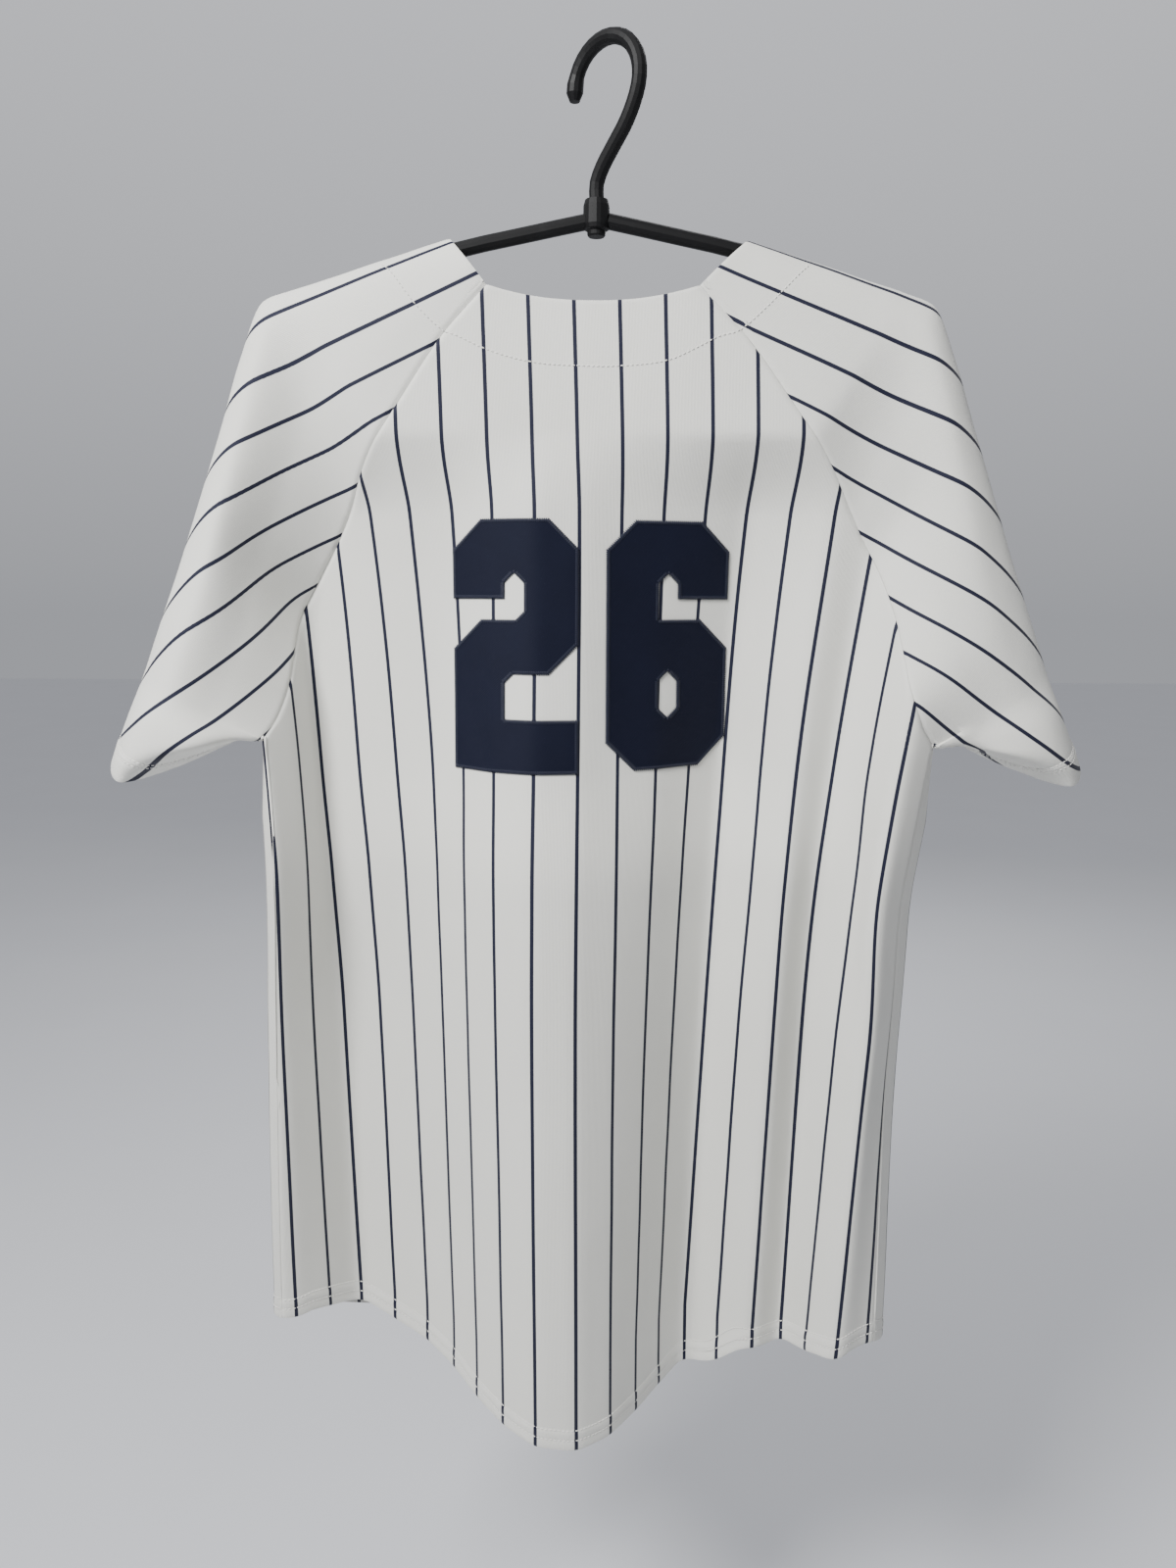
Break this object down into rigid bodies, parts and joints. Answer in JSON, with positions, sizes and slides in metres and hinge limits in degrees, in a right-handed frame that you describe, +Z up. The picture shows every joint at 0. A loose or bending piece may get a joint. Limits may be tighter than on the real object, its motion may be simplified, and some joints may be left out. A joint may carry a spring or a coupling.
{
  "type": "baseball jersey on a hanger",
  "caption": "Button-front baseball jersey with raglan short sleeves, shirt-tail hem and pinstripes, hung open-bodied on a black plastic hanger, a block number sewn on its back.",
  "frame": {"origin": "where the inside top of the hanger's hook bears on a rail", "axes": "+Z up, -Y out of the jersey's back, so +Y out of its buttoned front; +X to the wearer's right"},
  "size_m": [0.6567, 0.1392, 0.9406],
  "materials": {
    "double_knit": "matt knit",
    "twill": "matt twill",
    "buttons": "polished",
    "hanger_plastic": "satin moulded"
  },
  "bodies": {
    "root": {"back_panel": "double_knit", "front_panel_left": "double_knit", "front_panel_right": "double_knit", "sleeve_left": "double_knit", "sleeve_right": "double_knit", "number_two": "twill", "number_six": "twill", "button_1": "buttons", "button_2": "buttons", "button_3": "buttons", "button_4": "buttons", "button_5": "buttons", "button_6": "buttons", "button_7": "buttons", "hanger_arms": "hanger_plastic", "hanger_hook": "hanger_plastic"}
  },
  "joints": []
}
